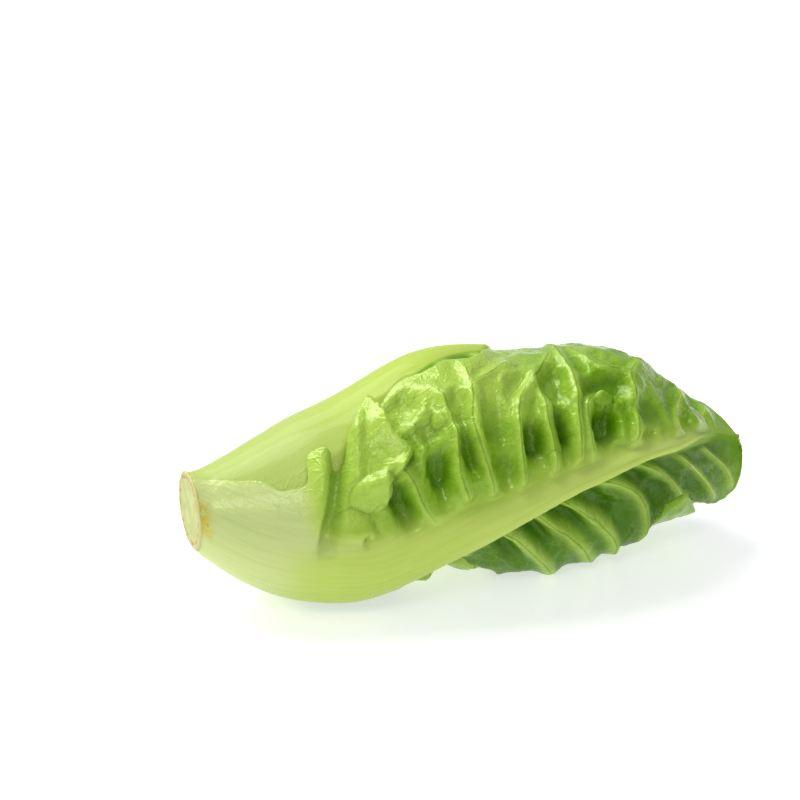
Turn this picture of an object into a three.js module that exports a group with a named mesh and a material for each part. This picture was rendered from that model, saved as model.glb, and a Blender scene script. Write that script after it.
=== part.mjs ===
// A small head of cos lettuce, trimmed at the stump and lying on its side.
// Twelve leaves grow in a spiral round a short stem. Each is a thin shell with a thick
// rib down its middle, and each lies just inside the leaf that was formed before it.
// Units are millimetres. +X runs from the cut stump to the leaf tips, and +Z is up.
import * as THREE from "three";

// Driving dimensions
const HEAD_LENGTH = 155; // cut face to the furthest leaf tip
const BELLY_RADIUS = 30; // greatest radius of the outer leaf's blade
const STUMP_RADIUS = 10.5; // radius of the cut face
const STUMP_COLLAR = 3; // bare stem between the cut face and the first leaf
const TIP_RADIUS = 13.5; // radius at which the outer leaf's tip ends
const LEAF_COUNT = 12;
const LEAF_SPACING = 3.2; // distance along the stem from one leaf to the next
const BLADE_THICKNESS = 1; // of a blade with nothing crowding it
const RIB_WIDTH = 14; // half-width of the outer leaf's rib, low down
const RIB_WIDTH_LOSS = 0.9; // from one leaf to the next
const NARROWEST_RIB = 3.5;
const RIB_HEIGHT = 2.6; // how far an outer leaf's rib stands out of its blade
const INNER_RIB_SHARE = 0.35; // share of the room between two leaves that a covered rib fills
const SHELL_STEP = 0.078; // share of the radius by which each leaf lies inside the last
const TIP_STEP = 0.034; // share of the length by which each leaf is shorter than the last
const GAP = 0.35; // clearance between neighbours
const STUMP_HEIGHT = 18.5; // from the surface to the lowest point of the cut face
const REST_DEPTH = 1.4; // how far soft leaves flatten where they lie on the surface
const WAIST_RISE = 1.8; // clearance under the head between the two places it lies on
const TIP_RISE = 6.5; // clearance under the leaf tips
const DIVERGENCE = 137.5; // degrees from one leaf to the next, round the stem
const FIRST_AZIMUTH = 128; // degrees from the top round to the outer leaf's rib
const BLISTER_HEIGHT = 1.5; // how far the outer leaf's blade swells out and in
const BLISTER_LENGTH = 27; // from one swelling to the next, along the head
const MARGIN_WAVE = 1.8; // how far the leaf margins wave in and out
const FLAP_REACH = 15; // how far the outer leaf's flap stands out of its margin

// Colours of the living tissue
const STEM_COLOUR = 0xc9d49a;
const OUTER_COLOUR = 0x8ab83a;
const MIDDLE_COLOUR = 0xa9cc55;
const HEART_COLOUR = 0xd3df7e;
const LEAF_ROUGHNESS = 0.45;

const LENGTH_START = 25; // inner leaves are shortened from here on, along the stem
const radians = THREE.MathUtils.degToRad;
const smooth = THREE.MathUtils.smoothstep;

// A smooth line through a few [x, value] points, as a function of x.
function lineThrough(points) {
  const slopeAt = (i) => {
    const low = points[Math.max(i - 1, 0)];
    const high = points[Math.min(i + 1, points.length - 1)];
    return (high[1] - low[1]) / (high[0] - low[0]);
  };
  return (x) => {
    const last = points.length - 2;
    let i = 0;
    while (i < last && x > points[i + 1][0]) i++;
    const [x0, y0] = points[i];
    const [x1, y1] = points[i + 1];
    const span = x1 - x0;
    const t = THREE.MathUtils.clamp((x - x0) / span, 0, 1);
    const rise = (3 - 2 * t) * t * t;
    const bend = slopeAt(i) * span * t * (1 - t) * (1 - t) - slopeAt(i + 1) * span * t * t * (1 - t);
    return y0 + (y1 - y0) * rise + bend;
  };
}

// Radius of the outer leaf's blade along the head.
const shellRadius = lineThrough([
  [0, STUMP_RADIUS],
  [STUMP_COLLAR, STUMP_RADIUS + 0.8],
  [0.07 * HEAD_LENGTH, 0.52 * BELLY_RADIUS],
  [0.13 * HEAD_LENGTH, 0.67 * BELLY_RADIUS],
  [0.2 * HEAD_LENGTH, 0.8 * BELLY_RADIUS],
  [0.29 * HEAD_LENGTH, 0.89 * BELLY_RADIUS],
  [0.48 * HEAD_LENGTH, BELLY_RADIUS],
  [0.68 * HEAD_LENGTH, 0.99 * BELLY_RADIUS],
  [0.76 * HEAD_LENGTH, 0.93 * BELLY_RADIUS],
  [0.84 * HEAD_LENGTH, 0.79 * BELLY_RADIUS],
  [0.91 * HEAD_LENGTH, 0.62 * BELLY_RADIUS],
  [HEAD_LENGTH, TIP_RADIUS],
]);

// Height of the head's underside. It lies on its belly near the stump and on the blades
// nearer the tips, and both ends are held clear.
const underside = lineThrough([
  [0, STUMP_HEIGHT],
  [0.08 * HEAD_LENGTH, 0.45 * STUMP_HEIGHT],
  [0.16 * HEAD_LENGTH, 0.1 * STUMP_HEIGHT],
  [0.26 * HEAD_LENGTH, -REST_DEPTH],
  [0.42 * HEAD_LENGTH, WAIST_RISE],
  [0.63 * HEAD_LENGTH, -REST_DEPTH],
  [0.82 * HEAD_LENGTH, 0.55 * TIP_RISE],
  [HEAD_LENGTH, TIP_RISE],
]);
const axisHeight = (x) => underside(x) + shellRadius(x);

// Leaves are named by how far in they are: outside, in the middle or in the heart. grid is
// the rows and columns of a leaf's surface, and spread is 1 for even columns and less for
// columns that stand closer together along the rib, where the shape turns quickest.
const LAYERS = [
  { name: "outer_leaf", colour: OUTER_COLOUR, grid: [28, 24], spread: 0.85 },
  { name: "middle_leaf", colour: MIDDLE_COLOUR, grid: [18, 14], spread: 1 },
  { name: "heart_leaf", colour: HEART_COLOUR, grid: [20, 12], spread: 1 },
];
const LEAVES_IN_LAYER = 4;

// What sets the outermost leaves apart, from the outside in. shift is how far, in
// degrees, the leaf has grown off its place in the spiral, and turn is how far its rib
// swings round on its way to the tip. left and right are the half-widths of the blade, low
// down and at its widest, on the side of the smaller and of the larger azimuth.
const OUTERMOST = [
  { shift: 0, turn: -62, left: [36, 64], right: [34, 50] },
  { shift: 9, turn: -14, left: [30, 52], right: [30, 54] },
  { shift: 5, turn: 12, left: [26, 50], right: [28, 50] },
];
const INNER_WIDTH = [26, 46];
const INNER_WIDTH_LOSS = [2.2, 4.2]; // from one inner leaf to the next

function leafSpec(rank) {
  const lost = Math.max(rank - OUTERMOST.length - 1, 0);
  const inner = INNER_WIDTH.map((width, i) => width - INNER_WIDTH_LOSS[i] * lost);
  const own = OUTERMOST[rank] ?? { shift: 0, turn: 0, left: inner, right: inner };
  return {
    ...own,
    rank,
    azimuth: FIRST_AZIMUTH - DIVERGENCE * rank + own.shift,
    ribWidth: Math.max(RIB_WIDTH - RIB_WIDTH_LOSS * rank, NARROWEST_RIB),
    covered: rank >= OUTERMOST.length,
    ribEnd: rank === 0 ? 0.9 : 0.55,
    flap: rank === 0 ? FLAP_REACH : 0,
  };
}

const shareInside = (rank) => 1 - SHELL_STEP * rank;
const attachAt = (rank) => STUMP_COLLAR + LEAF_SPACING * rank;
const tipAt = (rank) => LENGTH_START + (HEAD_LENGTH - LENGTH_START) * (1 - TIP_STEP * rank);

// Place on the outer leaf's shell that matches x on an inner, shorter leaf.
function stretched(rank, x) {
  if (x < LENGTH_START) return x;
  return LENGTH_START + (x - LENGTH_START) / (1 - TIP_STEP * rank);
}

const bladeRadius = (rank, x) => shareInside(rank) * shellRadius(stretched(rank, x));

// Room between two shells, less the clearance, and what a blade takes of it: a blade is
// thinner where the leaves crowd together.
const room = (rank, x) => SHELL_STEP * shellRadius(stretched(rank, x)) - GAP;
function bladeThickness(rank, x) {
  return (BLADE_THICKNESS * room(rank, x)) / (BLADE_THICKNESS + room(rank, x));
}

// Half-width of the blade on one side, at a share f of the leaf's length: it clasps the
// stem, widens twice, waves along its margin and closes in a round tip.
function halfWidth([low, full], f) {
  const base = Math.min(low, CLASP * STUMP_RADIUS);
  const lower = base + (low - base) * smooth(f, 0, 0.2);
  const wave = MARGIN_WAVE * Math.sin(2 * Math.PI * WAVES * f) * smooth(f, 0.1, 0.4);
  const whole = lower + (full - low) * smooth(f, 0.3, 0.58) + wave;
  const over = Math.max(0, (f - TIP_ROUND) / (1 - TIP_ROUND));
  return whole * Math.max(Math.sqrt(Math.max(1 - over * over, 0)), TIP_BLUNTNESS);
}
const CLASP = 1.5; // half-width of a leaf's base, in stump radii
const WAVES = 5;
const TIP_ROUND = 0.72; // where the tip starts to close, as a share of the leaf's length
const TIP_BLUNTNESS = 0.06;

// The outer leaf's upper margin carries one flap that stands clear of the rest, from
// FLAP_START to FLAP_END of the leaf's length.
const FLAP_START = 0.21;
const FLAP_END = 0.38;
function flapShape(f) {
  const crest = 0.5 * (FLAP_START + FLAP_END);
  return smooth(f, FLAP_START, crest) - smooth(f, crest, FLAP_END);
}

// Swellings of the blades. Leaves press into one another, so they share these, less and
// less towards the heart.
function blister(rank, x, angle) {
  const along = Math.sin((2 * Math.PI * x) / BLISTER_LENGTH + 2 * Math.sin(2 * angle));
  const round = 0.7 + 0.3 * Math.cos(3 * angle + x / BLISTER_LENGTH);
  const start = smooth(x, 0.28 * HEAD_LENGTH, 0.5 * HEAD_LENGTH);
  const end = smooth(HEAD_LENGTH - x, 0, 0.25 * HEAD_LENGTH);
  const pressed = Math.max(0, 1 - rank / BLISTERED_LEAVES);
  return BLISTER_HEIGHT * pressed * along * round * start * end;
}
const BLISTERED_LEAVES = 5;

// Where a leaf's rib lies round the head, in degrees, at a share f of the leaf's length.
const ribAzimuth = (spec, f) => spec.azimuth + spec.turn * smooth(f, TURN_START, 1);
const TURN_START = 0.35;

// The shorter way round from one angle to another, in radians.
function turnBetween(from, to) {
  return THREE.MathUtils.euclideanModulo(to - from + Math.PI, 2 * Math.PI) - Math.PI;
}

// How far a place lies under the leaves further out, from 0 where it is bare to 1 where it
// is covered. A rib is pressed flat there, and stands up clear of the covering margins.
function cover(rank, x, angle) {
  let most = 0;
  for (let other = 0; other < rank; other++) {
    const spec = leafSpec(other);
    const f = (x - attachAt(other)) / (tipAt(other) - attachAt(other));
    const away = turnBetween(radians(ribAzimuth(spec, f)), angle);
    const arc = away * bladeRadius(other, x);
    const flap = arc < 0 ? spec.flap * flapShape(f) : 0;
    const margin = halfWidth(arc < 0 ? spec.left : spec.right, Math.min(f, 1)) + flap;
    const clear = smooth(Math.abs(arc), margin + COVER_START, margin + COVER_END);
    most = Math.max(most, f <= 1 ? 1 - clear : 0);
  }
  return most;
}
const COVER_START = 5; // beyond a covering margin, a rib begins to rise
const COVER_END = 12; // and stands at its full height

// A point on a leaf, at a share f of its length and at across of its half-width, from -1
// to 1. inset is 0 on the outer face and 1 on the inner one.
function leafPoint(spec, f, across, inset) {
  const x = attachAt(spec.rank) + (tipAt(spec.rank) - attachAt(spec.rank)) * f;
  const blade = bladeRadius(spec.rank, x);
  const left = across < 0;
  const flap = left ? spec.flap * flapShape(f) * across ** 2 : 0;
  const arc = across * halfWidth(left ? spec.left : spec.right, f) - flap;
  const ribHalf = spec.ribWidth * (1 - 0.9 * smooth(f, 0.3, 0.85));
  const ribFade = smooth(f, 0, 0.12) * (1 - smooth(f, 0.35 * spec.ribEnd, spec.ribEnd));
  const angle = radians(ribAzimuth(spec, f)) + arc / blade;
  const pressed = spec.covered ? 1 : cover(spec.rank, x, angle);
  const flattened = INNER_RIB_SHARE * room(spec.rank, x);
  const ribTop = ribFade * THREE.MathUtils.lerp(RIB_HEIGHT, flattened, pressed);
  const rib = ribTop * Math.max(0, 1 - (arc / ribHalf) ** 2) ** 2;
  const offRib = smooth(Math.abs(arc), ribHalf, 2 * ribHalf + 4);
  const swelling = blister(spec.rank, x, angle) * (spec.rank === 0 ? offRib : 1);
  const wall = bladeThickness(spec.rank, x) + RIB_WALL * rib;
  const r = blade + rib + swelling - inset * wall;
  return new THREE.Vector3(x, -r * Math.sin(angle), axisHeight(x) + r * Math.cos(angle));
}
const RIB_WALL = 0.4; // share of the rib's height that is solid

// A closed shell from two grids, the outer face and the inner one, joined round the edge.
function leafGeometry(spec, [rows, columns], spread) {
  const positions = [];
  const index = [];
  for (const inset of [0, 1]) {
    for (let i = 0; i <= rows; i++) {
      const f = i / rows - END_CROWDING * Math.sin((2 * Math.PI * i) / rows);
      for (let j = 0; j <= columns; j++) {
        const even = (2 * j) / columns - 1;
        const across = even * (spread + (1 - spread) * Math.abs(even));
        const point = leafPoint(spec, f, across, inset);
        point.z = Math.max(point.z, inset * bladeThickness(spec.rank, point.x));
        positions.push(...point);
      }
    }
  }
  const stride = columns + 1;
  const layer = (rows + 1) * stride;
  const at = (inset, i, j) => inset * layer + i * stride + j;
  const quad = (a, b, c, d) => index.push(a, b, c, a, c, d);
  for (let i = 0; i < rows; i++) {
    for (let j = 0; j < columns; j++) {
      quad(at(0, i, j), at(0, i, j + 1), at(0, i + 1, j + 1), at(0, i + 1, j));
      quad(at(1, i, j), at(1, i + 1, j), at(1, i + 1, j + 1), at(1, i, j + 1));
    }
    quad(at(0, i, 0), at(0, i + 1, 0), at(1, i + 1, 0), at(1, i, 0));
    quad(at(0, i, columns), at(1, i, columns), at(1, i + 1, columns), at(0, i + 1, columns));
  }
  for (let j = 0; j < columns; j++) {
    quad(at(0, 0, j), at(1, 0, j), at(1, 0, j + 1), at(0, 0, j + 1));
    quad(at(0, rows, j), at(0, rows, j + 1), at(1, rows, j + 1), at(1, rows, j));
  }
  return closedGeometry(positions, index);
}
const END_CROWDING = 0.1; // how much closer together the rows stand at a leaf's two ends

function closedGeometry(positions, index) {
  const geometry = new THREE.BufferGeometry();
  geometry.setAttribute("position", new THREE.Float32BufferAttribute(positions, 3));
  geometry.setIndex(index);
  geometry.computeVertexNormals();
  return geometry;
}

// The stem: a cut face, then a body that reaches the inside of each leaf where it is
// attached, and a blunt growing point. It bends with the head's axis.
function stemGeometry() {
  const inside = (rank) => {
    const x = attachAt(rank);
    return bladeRadius(rank, x) - bladeThickness(rank, x) - GAP;
  };
  const rings = [[0, STUMP_RADIUS], [0.6 * STUMP_COLLAR, STUMP_RADIUS]];
  for (let rank = 0; rank < LEAF_COUNT; rank++) {
    rings.push([attachAt(rank), inside(rank)]);
  }
  rings.push([attachAt(LEAF_COUNT), 0.5 * inside(LEAF_COUNT - 1)]);
  const positions = [0, 0, axisHeight(0)];
  for (const [x, radius] of rings) {
    for (let k = 0; k < STEM_SIDES; k++) {
      const angle = (2 * Math.PI * k) / STEM_SIDES;
      positions.push(x, -radius * Math.sin(angle), axisHeight(x) + radius * Math.cos(angle));
    }
  }
  const tip = attachAt(LEAF_COUNT) + 1;
  positions.push(tip, 0, axisHeight(tip));
  const index = [];
  const at = (ring, k) => 1 + ring * STEM_SIDES + (k % STEM_SIDES);
  const last = rings.length - 1;
  for (let k = 0; k < STEM_SIDES; k++) {
    index.push(0, at(0, k + 1), at(0, k));
    for (let ring = 0; ring < last; ring++) {
      index.push(at(ring, k), at(ring, k + 1), at(ring + 1, k + 1));
      index.push(at(ring, k), at(ring + 1, k + 1), at(ring + 1, k));
    }
    index.push(at(last, k), at(last, k + 1), at(last + 1, 0));
  }
  return closedGeometry(positions, index);
}
const STEM_SIDES = 20;

function tissue(colour) {
  return new THREE.MeshStandardMaterial({ color: colour, roughness: LEAF_ROUGHNESS, metalness: 0 });
}

const head = new THREE.Group();
const stem = new THREE.Mesh(stemGeometry(), tissue(STEM_COLOUR));
stem.name = "stem";
head.add(stem);

for (let rank = 0; rank < LEAF_COUNT; rank++) {
  const layer = LAYERS[Math.floor(rank / LEAVES_IN_LAYER)];
  const geometry = leafGeometry(leafSpec(rank), layer.grid, layer.spread);
  const leaf = new THREE.Mesh(geometry, tissue(layer.colour));
  leaf.name = `${layer.name}_${(rank % LEAVES_IN_LAYER) + 1}`;
  head.add(leaf);
}

// The origin is under the middle of the head, on the surface that it lies on.
const box = new THREE.Box3().setFromObject(head);
const middle = box.getCenter(new THREE.Vector3());
head.position.set(-middle.x, -middle.y, -box.min.z);

export default head;
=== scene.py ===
import math

import bpy
import numpy as np
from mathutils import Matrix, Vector, noise


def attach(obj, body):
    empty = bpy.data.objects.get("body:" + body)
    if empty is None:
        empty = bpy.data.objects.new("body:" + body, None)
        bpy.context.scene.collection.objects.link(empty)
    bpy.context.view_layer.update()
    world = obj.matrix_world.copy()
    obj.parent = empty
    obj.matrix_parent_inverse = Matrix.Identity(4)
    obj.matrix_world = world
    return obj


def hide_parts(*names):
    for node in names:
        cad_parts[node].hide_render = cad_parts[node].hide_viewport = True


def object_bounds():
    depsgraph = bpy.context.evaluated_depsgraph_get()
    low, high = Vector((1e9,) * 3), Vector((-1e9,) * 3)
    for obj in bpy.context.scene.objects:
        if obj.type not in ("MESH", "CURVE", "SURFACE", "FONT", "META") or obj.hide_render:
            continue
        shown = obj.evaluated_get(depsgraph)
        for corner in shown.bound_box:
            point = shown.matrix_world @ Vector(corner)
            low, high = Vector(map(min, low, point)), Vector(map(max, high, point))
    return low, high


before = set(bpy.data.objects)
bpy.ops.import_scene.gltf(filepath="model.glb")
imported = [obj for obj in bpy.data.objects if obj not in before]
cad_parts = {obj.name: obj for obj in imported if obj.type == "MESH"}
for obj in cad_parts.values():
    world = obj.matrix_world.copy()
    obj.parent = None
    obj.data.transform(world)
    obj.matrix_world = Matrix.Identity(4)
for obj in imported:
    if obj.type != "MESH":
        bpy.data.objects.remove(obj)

MM = 0.001
CAD_LOW, CAD_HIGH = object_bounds()

# ---------------------------------------------------------------- the table
# A plain pale table top, wide enough to run out of sight. It shines a little, as a brightly
# lit white surface seems to. The head lies on it with nothing between them.
TABLE_WIDTH = 16


def new_material(name):
    """A new material and its Principled shader."""
    material = bpy.data.materials.new(name)
    material.use_nodes = True
    return material, material.node_tree.nodes["Principled BSDF"]


bpy.ops.mesh.primitive_plane_add(size=TABLE_WIDTH, location=(0, 0, 0))
floor = bpy.context.object
floor.name = "floor"
floor_paint, shader = new_material("pale_table")
shader.inputs["Base Color"].default_value = (0.62, 0.6, 0.64, 1)
shader.inputs["Roughness"].default_value = 0.3
shader.inputs["Emission Color"].default_value = (0.98, 1.0, 1.0, 1)
shader.inputs["Emission Strength"].default_value = 0.6
floor.data.materials.append(floor_paint)

# ---------------------------------------------------------------- the camera and the light
# A bright soft room, with a broad sun high behind the head, one large soft lamp behind it and
# a smaller one in front. The camera looks down on the head from in front of its stump.
FIELD_OF_VIEW = 27
SUN_SPREAD = 30
HEAD_MIDDLE = (0, 0, 0.03)
CAMERA_AZIMUTH = -22
CAMERA_ELEVATION = 20
CAMERA_DISTANCE = 0.432
CAMERA_AIM = Vector((-0.0202, 0, 0.0506))
az, el = math.radians(CAMERA_AZIMUTH), math.radians(CAMERA_ELEVATION)
towards = Vector((math.sin(az) * math.cos(el), -math.cos(az) * math.cos(el), math.sin(el)))
bpy.ops.object.camera_add(location=CAMERA_AIM + towards * CAMERA_DISTANCE)
camera = bpy.context.object
camera.rotation_euler = (-towards).to_track_quat("-Z", "Y").to_euler()
camera.data.angle = math.radians(FIELD_OF_VIEW)
camera.data.clip_start = 0.01
bpy.context.scene.camera = camera


def soft_lamp(name, place, aim, size, power):
    """A rectangular lamp at a place, turned towards what it lights."""
    bpy.ops.object.light_add(type="AREA", location=place)
    lamp = bpy.context.object
    lamp.name = name
    lamp.rotation_euler = (Vector(aim) - Vector(place)).to_track_quat("-Z", "Y").to_euler()
    lamp.data.shape = "RECTANGLE"
    lamp.data.size, lamp.data.size_y = size
    lamp.data.energy = power


soft_lamp("lamp_back", (-0.25, 0.5, 0.55), HEAD_MIDDLE, (0.6, 0.3), 2.4)
soft_lamp("lamp_front", (-0.55, -0.75, 0.85), HEAD_MIDDLE, (0.35, 0.35), 3.3)
bpy.ops.object.light_add(type="SUN")
sun = bpy.context.object
sun.name = "lamp_over"
sun.rotation_euler = Vector((0.35, -0.45, -1)).to_track_quat("-Z", "Y").to_euler()
sun.data.energy = 1.9
sun.data.angle = math.radians(SUN_SPREAD)
world = bpy.data.worlds.new("room")
bpy.context.scene.world = world
world.use_nodes = True
world.node_tree.nodes["Background"].inputs["Color"].default_value = (1, 1, 1, 1)
world.node_tree.nodes["Background"].inputs["Strength"].default_value = 0.38
bpy.context.scene.view_settings.view_transform = "Standard"

# ---------------------------------------------------------------- the head's form
# A small head lies on its side, flat where it presses on the table. Lengths are millimetres
# from the cut face. Angles are degrees round the head's axis, from the top, through the
# front, to the underside at 180.
HEAD_LENGTH = (CAD_HIGH.x - CAD_LOW.x) / MM
BELLY_RADIUS = 30.0
STUMP_RADIUS = 10.5
TIP_RADIUS = 13.5
COLLAR = 3.0
REST_DEPTH = 1.4


def line_through(*points):
    """A smooth line through a few (x, value) points, level beyond both ends."""
    xs, ys = (np.array(c, float) for c in zip(*points))
    last = len(xs) - 1
    slopes = np.array([
        (ys[min(i + 1, last)] - ys[max(i - 1, 0)]) / (xs[min(i + 1, last)] - xs[max(i - 1, 0)])
        for i in range(last + 1)
    ])

    def value(x):
        x = np.clip(np.asarray(x, float), xs[0], xs[-1])
        i = np.clip(np.searchsorted(xs, x, side="right") - 1, 0, last - 1)
        span = xs[i + 1] - xs[i]
        t = (x - xs[i]) / span
        bend = slopes[i] * span * t * (1 - t) ** 2 - slopes[i + 1] * span * t * t * (1 - t)
        return ys[i] + (ys[i + 1] - ys[i]) * (3 - 2 * t) * t * t + bend

    return value


head_radius = line_through(
    (0, STUMP_RADIUS), (COLLAR, STUMP_RADIUS + 0.8), (0.07 * HEAD_LENGTH, 0.52 * BELLY_RADIUS),
    (0.13 * HEAD_LENGTH, 0.67 * BELLY_RADIUS), (0.2 * HEAD_LENGTH, 0.8 * BELLY_RADIUS),
    (0.29 * HEAD_LENGTH, 0.89 * BELLY_RADIUS), (0.48 * HEAD_LENGTH, BELLY_RADIUS),
    (0.68 * HEAD_LENGTH, 0.99 * BELLY_RADIUS), (0.76 * HEAD_LENGTH, 0.93 * BELLY_RADIUS),
    (0.84 * HEAD_LENGTH, 0.79 * BELLY_RADIUS), (0.91 * HEAD_LENGTH, 0.62 * BELLY_RADIUS),
    (HEAD_LENGTH, TIP_RADIUS),
)
underside = line_through(
    (0, 18.5), (0.08 * HEAD_LENGTH, 8.3), (0.16 * HEAD_LENGTH, 1.85), (0.26 * HEAD_LENGTH, -REST_DEPTH),
    (0.42 * HEAD_LENGTH, 1.8), (0.63 * HEAD_LENGTH, -REST_DEPTH), (0.82 * HEAD_LENGTH, 3.6),
    (HEAD_LENGTH, 6.5),
)


def place(x, angle, radius):
    """Points in the frame, in metres, from length along, angle round and radius."""
    turn = np.radians(angle)
    height = underside(x) + head_radius(x) + radius * np.cos(turn)
    return np.stack([x * MM + CAD_LOW.x, -radius * np.sin(turn) * MM, height * MM], -1)


# ---------------------------------------------------------------- how the leaves grow
# Twelve leaves, listed from the outside in, each turned on from the one before it. A leaf has
# a rib that is broad and thick at the base and narrows to nothing at the tip, a thin blade on
# each side of it, and side veins with hollows between them.
DIVERGENCE = 137.5
FIRST_ANGLE = 117
VEIN_LEAN = 0.2
CELL_LENGTH = (11, 18)
HOLLOW_DEPTH = 2.4
PRESSED_STEP = 0.8


class Leaf:
    """A leaf's place and outline: its length, rib line, two margins, rib and side veins."""

    def __init__(self, rank, name, rows, columns):
        self.rank, self.name, self.rows, self.columns = rank, name, rows, columns
        self.attach = 0.5 + 0.4 * rank if rank < 3 else 1.5 + 3.2 * rank
        self.tip = 25 + (HEAD_LENGTH - 25) * (1 - 0.034 * rank)
        centre = FIRST_ANGLE - DIVERGENCE * rank
        shrink = 1 - 0.075 * max(rank - 3, 0)
        self.rib = line_through((0, centre), (HEAD_LENGTH, centre + 6 * (-1) ** rank))
        self.upper, self.lower = (
            line_through(
                (0, centre + turn * 75), (20, centre + turn * 72), (50, centre + turn * 62 * shrink),
                (90, centre + turn * 105 * shrink), (0.9 * self.tip, centre + turn * 95 * shrink),
                (self.tip, centre + turn * 50 * shrink))
            for turn in (-1, 1))
        base = max(12 - 0.9 * rank, 3.5)
        self.half = line_through(
            (0, base), (0.2 * self.tip, base), (0.42 * self.tip, 0.55 * base),
            (0.6 * self.tip, 0.26 * base), (0.8 * self.tip, 0.14 * base), (self.tip, 0.05 * base))
        self.rise = line_through((0, 0.5), (0.12 * self.tip, 2.4), (0.5 * self.tip, 2.2), (self.tip, 0.3))
        random = np.random.default_rng(40 + rank)
        veins = [0.18 * self.tip]
        while veins[-1] < self.tip - 6:
            veins.append(veins[-1] + random.uniform(8, 11.5))
        self.veins = (np.array(veins), np.array(veins) + random.uniform(-3, 3))
        # how much room it takes from the leaves inside it
        self.room = 3.0 if rank < 4 else 1.15
        self.lines = self.dents = self.cushions = ()


# the outermost leaf has an outline, side veins and hollows of its own
outer_1 = Leaf(0, "outer_leaf_1", 250, 188)
outer_1.rib = line_through(
    (0, 124), (20, 120), (30, 117), (42, 116), (54, 112), (67, 105), (80, 93), (92, 83), (101, 79),
    (113, 76), (128, 71), (146, 50), (155, 44))
outer_1.half = line_through(
    (0, 9), (14, 12), (30, 12.5), (42, 11), (54, 8.6), (67, 6), (80, 4), (92, 3), (101, 2.5), (113, 2),
    (128, 1.5), (140, 0.7), (148, 0.1), (155, 0.1))
outer_1.upper = line_through(
    (0, 14), (3, 16), (10, 30), (16, 38), (19, 48), (22, 50), (26, 48), (27.5, 32), (30, 29), (35, 33),
    (38, 28), (42, 19), (47, 9), (52, 9), (57, 4), (62, 8), (70, 5), (74, 8), (79, 3), (84, -12), (92, -32),
    (110, -42), (130, -34), (142, -18), (150, -2), (153, 18), (155, 40))
outer_1.lower = line_through(
    (0, 196), (14, 200), (30, 196), (44, 186), (54, 168), (60, 158), (65, 162), (70, 156), (74, 158),
    (77.5, 152), (81, 160), (87, 186), (100, 198), (113, 186), (120, 160), (125, 134), (129, 120),
    (133, 115), (139, 121), (146, 127), (152, 125), (155, 106))
outer_1.rise = line_through(
    (0, 0.3), (12, 2.2), (30, 2.6), (50, 2.6), (70, 2.8), (90, 2.6), (110, 2.0),
    (128, 1.3), (142, 0.5), (149, 0.0), (155, 0.0))
outer_1.room = 5.6
# Its side veins, each a ridge with a width, a height and a line of (length, angle) places
# from the rib outwards: first those of the upper blade, then those of the lower one.
outer_1.lines = (
    (
        (1.5, 1.5, ((57, 95), (53.5, 81), (52, 70), (49.5, 56))),
        (1.4, 1.3, ((64, 84), (62.5, 72), (63.5, 56), (63.5, 35), (61, 20))),
        (1.5, 1.2, ((70.5, 84), (69, 68), (68.8, 48), (72, 27), (72.5, 13))),
        (1.0, 0.6, ((72, 28), (77.5, 22), (85, 12))),
        (1.4, 1.5, ((79, 80), (79.5, 60), (83, 40), (92, 21), (99, 4))),
        (1.5, 1.7, ((88, 77), (88.5, 54), (90, 37), (91, 27))),
        (2.0, 2.0, ((95, 75), (97, 50), (100, 28), (102, 6), (103, -12))),
        (1.3, 1.6, ((100, 73), (99.2, 58), (101, 43), (105, 38))),
        (1.4, 1.4, ((112, 71), (114, 63), (116.5, 45), (118.5, 28), (129, 8))),
        (1.2, 0.5, ((118.5, 28), (110, 21), (107, -2))),
        (1.1, 0.5, ((127, 68), (130, 52), (133.5, 36), (141, 4))),
        (1.0, 0.4, ((137, 58), (142, 40), (146, 22))),
    ),
    (
        (1.2, 1.6, ((55, 127), (60, 138), (63, 148))),
        (1.2, 1.5, ((63, 120), (66, 131), (69.5, 143))),
        (2.6, 2.4, ((71, 108), (78, 116), (84, 126), (91, 140), (95, 160))),
        (1.5, 1.6, ((82, 98), (88.5, 110), (98.5, 127), (106, 150))),
        (1.7, 2.0, ((89, 90), (98.5, 105), (106, 122), (111, 138), (114, 160))),
        (1.4, 1.4, ((101, 84), (110, 94), (117.5, 110), (121, 130), (122, 150))),
        (1.3, 1.2, ((112, 79), (123, 92), (130, 107), (132, 118))),
        (1.1, 0.6, ((126, 75), (137, 92), (143, 108), (146, 124))),
        (1.0, 0.5, ((137, 65), (147, 82), (151, 104))),
    ),
)
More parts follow.
